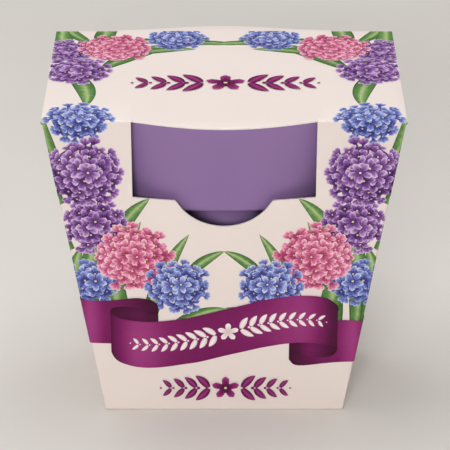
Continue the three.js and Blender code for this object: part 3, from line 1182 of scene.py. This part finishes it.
ribbon = {
    "tails": [
        [(-57, 32.4, 52.3, 0.3), (-53.8, 32.2, 52.1, 0.45), (-50, 31.9, 51.4, 0.86),
         (-44.5, 31.7, 51.3, 0.45), (-38.9, 31.7, 51.8, 0.34), (-33.3, 33, 52.5, 0.2),
         (-29.6, 34, 52.2, 0.1), (-27, 35, 51.4, 0.04), (-25.4, 36, 50.3, 0.02),
         (-24.6, 37, 48.7, 0.0)],
        [(24.4, 24.2, 34, 0.0), (25.9, 22.1, 36, 0.05), (28, 21.35, 38, 0.12),
         (31.7, 21.5, 39, 0.22), (37.3, 22.3, 40, 0.4), (42.9, 22.9, 42.3, 0.5),
         (48, 23.1, 42.3, 0.86), (51, 23.2, 42.1, 0.7), (57, 23.3, 42, 0.4)],
    ],
    "curls": [
        [(-42.5, 45.8, 46.8, 0.0), (-41.6, 44, 47.9, 0.0), (-39.7, 42.6, 48.4, 0.04),
         (-36, 41.6, 48.5, 0.1), (-31.5, 41, 47.8, 0.16), (-27.8, 41, 46.5, 0.06),
         (-24.6, 41, 45.2, 0.02)],
        [(24.4, 27.6, 32, 0.0), (28, 26.4, 32.4, 0.1), (32, 25.5, 32.6, 0.34),
         (36.2, 25.2, 32, 0.2), (39.9, 25.7, 31.4, 0.06), (41.8, 27, 30.4, 0.02),
         (42.5, 28.4, 29.6, 0.0)],
    ],
    "band": [
        [(-42.5, 27.6, 46.7, 0.1), (-41.6, 25.4, 45.4, 0.2), (-40, 23.4, 43.9, 0.36),
         (-37, 21.8, 42.7, 0.6), (-33, 20.6, 41.9, 0.84), (-28, 20.2, 41.6, 0.78),
         (-22, 20.7, 42.1, 0.56), (-15, 21.95, 43.1, 0.46), (-9, 23.1, 44.6, 0.42),
         (0, 25.8, 47.2, 0.44), (8, 28, 49.6, 0.48), (13.1, 29.45, 51.2, 0.52),
         (18.7, 30.7, 52.4, 0.6), (24.3, 31.66, 53.3, 0.72), (30, 32, 53.6, 0.76),
         (35.4, 31.5, 53.2, 0.5), (39.5, 30.5, 51.7, 0.18), (42.5, 28.8, 48.8, 0.06)],
    ],
    # round the other walls: the lower edge at the wall's left and right, as seen from outside
    "levels": {1: (23.3, 26.2), 2: (26.2, 28.6), 3: (28.6, 32.4)},
    "width": 20, "wallSteps": 8, "backWave": 3.2, "tone": 0.5, "toneSwing": 0.2,
    "steps": 6,
    "across": (0.0, 0.04, 0.25, 0.5, 0.75, 0.96, 1.0),
    "sheen": (-0.08, 0.0, 0.03, 0.06, 0.04, 0.0, -0.06),
}


def ribbonPatch(stations, height):
    along = smoothThrough([(u, low) for u, low, high, tone in stations], ribbon["steps"])
    above = smoothThrough([(u, high) for u, low, high, tone in stations], ribbon["steps"])
    tones = smoothThrough([(u, tone) for u, low, high, tone in stations], ribbon["steps"])

    def place(row, column):
        u, v = Vector(along[row]).lerp(Vector(above[row]), ribbon["across"][column])
        return u, v, tones[row][1] + ribbon["sheen"][column]

    piece = inkedGrid("ribbonStretch", "plumInk", len(ribbon["across"]), len(along), place)
    piece.data.transform(at(0, 0, height=height))
    faceUp(piece)
    return piece


def drawRibbon():
    return [ribbonPatch(stations, layers[part])
            for part in ("tails", "curls", "band") for stations in ribbon[part]]


# small running ornaments: a blossom in the middle, and paired leaves and dots on each side

vine = {
    "pitch": 2.9, "taper": 0.5,
    "firstLeaf": 3.9, "leafTurn": 60, "apart": 0.25,
    "leafSize": (4.4, 1.9, 30),        # length, width and bend
    "blossom": 0.74, "blossomLight": 0.1,
    "dotRadius": 0.4, "dotAhead": 0.8, "dotShade": 0.5,
}
sprigs = {
    # where each starts and ends, its level, size and ink
    "lid": (-31, 32, 35.5, 2.3, "plumInk"),
    "foot": (-22, 23, 10.6, 1.65, "plumInk"),
    "ribbon": (-34, 37, None, 1.25, "creamInk"),
}


def bandMiddle(u):
    stations = ribbon["band"][0]
    for (u0, low0, high0, tone0), (u1, low1, high1, tone1) in zip(stations, stations[1:]):
        if u <= u1:
            share = (u - u0) / (u1 - u0)
            return ((low0 + high0) * (1 - share) + (low1 + high1) * share) / 2


def drawSprig(kind, base=0.0):
    start, end, flat, size, ink = sprigs[kind]
    level = bandMiddle if flat is None else lambda u: base + flat
    middle, height, step = (start + end) / 2, layers["ornament"], layers["leafStep"]
    blossom, single = makeFloret(ink), makeLeaf("sprigLeaf", *vine["leafSize"], ink)
    place = at(middle, level(middle), 0, vine["blossom"] * size, height)
    parts = [copyOf(blossom, place, vine["blossomLight"])]
    count = int((end - start) / 2 / (vine["pitch"] * size))
    for hand in (-1, 1):
        for i in range(count):
            u = middle + hand * size * (vine["firstLeaf"] + i * vine["pitch"])
            small = size * (1 - vine["taper"] * i / count)
            slope = math.degrees(math.atan2(level(u + 1) - level(u - 1), 2))
            for up in (-1, 1):
                heading = slope - 90 * hand + hand * up * vine["leafTurn"]
                place = at(u, level(u) + vine["apart"] * up, heading, small, height + step * up)
                parts.append(copyOf(single, place @ Matrix.Diagonal((hand * up, 1, 1, 1))))
            dot = makeDot(vine["dotRadius"] * small, 10, ink, vine["dotShade"])
            further = u + hand * vine["dotAhead"] * vine["pitch"] * size
            dot.data.transform(at(further, level(further), height=height + 2 * step))
            parts.append(dot)
    discard(blossom, single)
    return parts


# laying a drawing on the card: first cuts where it will bend, then every point goes to its place

foldQuarter = carton["cornerRadius"] * math.pi / 2        # flat length round an upright fold


def cutFlat(piece, place, normal, clear=False):
    settings = {"plane_co": place, "plane_no": normal, "clear_outer": clear}
    edit(piece, "VERT", everything, (bpy.ops.mesh.bisect, settings))


# along both slanted edges of a wall, step by step round its folds as the card's own rows go
def cutAlong(piece, side, steps, clear=False):
    for step in steps:
        past = foldQuarter * step / carton["cornerSteps"]
        half = halfSizes(side, 0)[0] - carton["cornerRadius"] + past
        for hand in (-1, 1):
            slant = (hand * math.cos(leanAngle), -math.sin(leanAngle), 0)
            cutFlat(piece, (hand * half, 0, 0), slant, clear)


def layOn(piece, placer):
    for vertex in piece.data.vertices:
        vertex.co = placer(*vertex.co)
    piece.data.update()


def makeFrontPrint():
    lidStart = foldLine / mm
    parts = drawMotifs("front") + drawMotifs("lid", lidStart) + drawRibbon()
    parts += drawSprig("ribbon") + drawSprig("foot") + drawSprig("lid", lidStart)
    piece = joinPieces(parts, "frontPrint")
    cutAlong(piece, 0, range(carton["cornerSteps"] + 1))
    steps = carton["creaseSteps"]
    for step in range(steps + 1):
        cutFlat(piece, (0, foldLine + creaseRun * (2 * step / steps - 1), 0), (0, 1, 0))
    cutFlat(piece, (0, foldLine - hinge.y + lid["rearFold"], 0), (0, 1, 0), True)
    lidSide = carton["topHalfWide"] - 0.1 * mm
    for hand in (-1, 1):
        cutFlat(piece, (hand * lidSide, 0, 0), (1, 0, 0))

    def isOff(centre):        # past the upright folds or the lid's sides
        wide = halfSizes(0, centre.y * math.cos(leanAngle))[0]
        limit = wide - carton["cornerRadius"] + foldQuarter
        return abs(centre.x) > (lidSide if centre.y > foldLine - creaseRun else limit)

    removeFaces(piece, isOff)
    layOn(piece, unfoldedPoint)
    return piece


def makeWallPrint(name, side, drawing):
    half = halfSizes(side, carton["height"] / 2)[0] / mm
    left, right = ribbon["levels"][side]
    stations = []
    for i in range(ribbon["wallSteps"] + 1):
        share = i / ribbon["wallSteps"]
        turn = 2 * math.pi * share
        low = left + (right - left) * share
        if side == 2:
            low += ribbon["backWave"] * math.sin(turn)
        tone = ribbon["tone"] + ribbon["toneSwing"] * math.cos(2 * turn)
        stations.append((half * (2 * share - 1), low, low + ribbon["width"], tone))
    piece = joinPieces(drawMotifs(drawing) + [ribbonPatch(stations, layers["band"])], name)
    # only the back's print goes round its folds; the sides' ends at them
    if side == 2:
        cutAlong(piece, side, [carton["cornerSteps"]], True)
        cutAlong(piece, side, range(carton["cornerSteps"]))
    else:
        cutAlong(piece, side, [0], True)
    layOn(piece, lambda u, v, h: wallPoint(side, u, v, h))
    return piece


frontPrint = makeFrontPrint()
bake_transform(frontPrint)
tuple(foldStart)
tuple(foldEnd)
for name, side, drawing in (
    ("rightPrint", 1, "side"),
    ("backPrint", 2, "back"),
    ("leftPrint", 3, "side"),
):
    wallPrint = makeWallPrint(name, side, drawing)
    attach(wallPrint, "carton")
discard(*masters.values())
print("print laid on")


# floor, light and camera

studio = {
    "floor": rgb(226, 222, 216), "floorShade": rgb(222, 217, 211), "floorCloud": (6, 4, 0.5),
    "floorRoughness": 0.9, "floorSpecular": 0.05, "floorSize": 6,
    "world": (1.0, 0.985, 0.965, 1), "worldStrength": 0.12,
    "target": Vector((0.31, 0, 65.9)) * mm, "distance": 970 * mm, "elevation": 25,
    "lens": 203.44, "sensor": 36, "clipStart": 0.01,
}
lights = [
    # name, place in metres, width and height in metres, watts, spread in degrees
    ("frontPanel", (-0.13, -1.25, 0.605), (0.45, 0.12), 1.52, 70),
    ("topPanel", (-0.1, 0.05, 1.35), (1.2, 1.2), 12.6, 180),
    ("leftPanel", (-0.95, 0.85, 0.45), (0.7, 0.7), 2.6, 180),
    ("rightPanel", (0.95, 0.85, 0.45), (0.7, 0.7), 2.2, 180),
]


def makeFloor():
    material, tree, shader = newMaterial("paleFloor", studio["floorRoughness"])
    stops = (0.3, studio["floorShade"]), (0.7, studio["floor"])
    setInputs(tree, shader, {
        "Base Color": ramp(tree, noise(tree, studio["floorCloud"]), stops),
        "Specular IOR Level": studio["floorSpecular"],
    })
    deselectAll()
    bpy.ops.mesh.primitive_plane_add(size=studio["floorSize"])
    floor = namePiece("paleFloor")
    giveMaterials(floor, material)


def makeLights():
    for name, place, size, watts, spread in lights:
        bpy.ops.object.light_add(type="AREA", location=place)
        light = bpy.context.object
        light.name = name
        light.data.shape = "RECTANGLE"
        light.data.size, light.data.size_y = size
        light.data.energy = watts
        light.data.spread = math.radians(spread)
        light.rotation_euler = (studio["target"] - Vector(place)).to_track_quat("-Z", "Y").to_euler()
    world = bpy.context.scene.world or bpy.data.worlds.new("studio")
    bpy.context.scene.world = world
    world.use_nodes = True
    background = world.node_tree.nodes["Background"]
    background.inputs["Color"].default_value = studio["world"]
    background.inputs["Strength"].default_value = studio["worldStrength"]


def makeCamera():
    tilt = math.radians(studio["elevation"])
    look = Vector((0, math.cos(tilt), -math.sin(tilt)))
    bpy.ops.object.camera_add(location=studio["target"] - look * studio["distance"])
    camera = bpy.context.object
    camera.rotation_euler = look.to_track_quat("-Z", "Y").to_euler()
    camera.data.sensor_width = studio["sensor"]
    camera.data.lens = studio["lens"]
    camera.data.clip_start = studio["clipStart"]
    bpy.context.scene.camera = camera


makeFloor()
makeLights()
makeCamera()
bpy.context.scene.view_settings.view_transform = "Standard"
print("studio made")
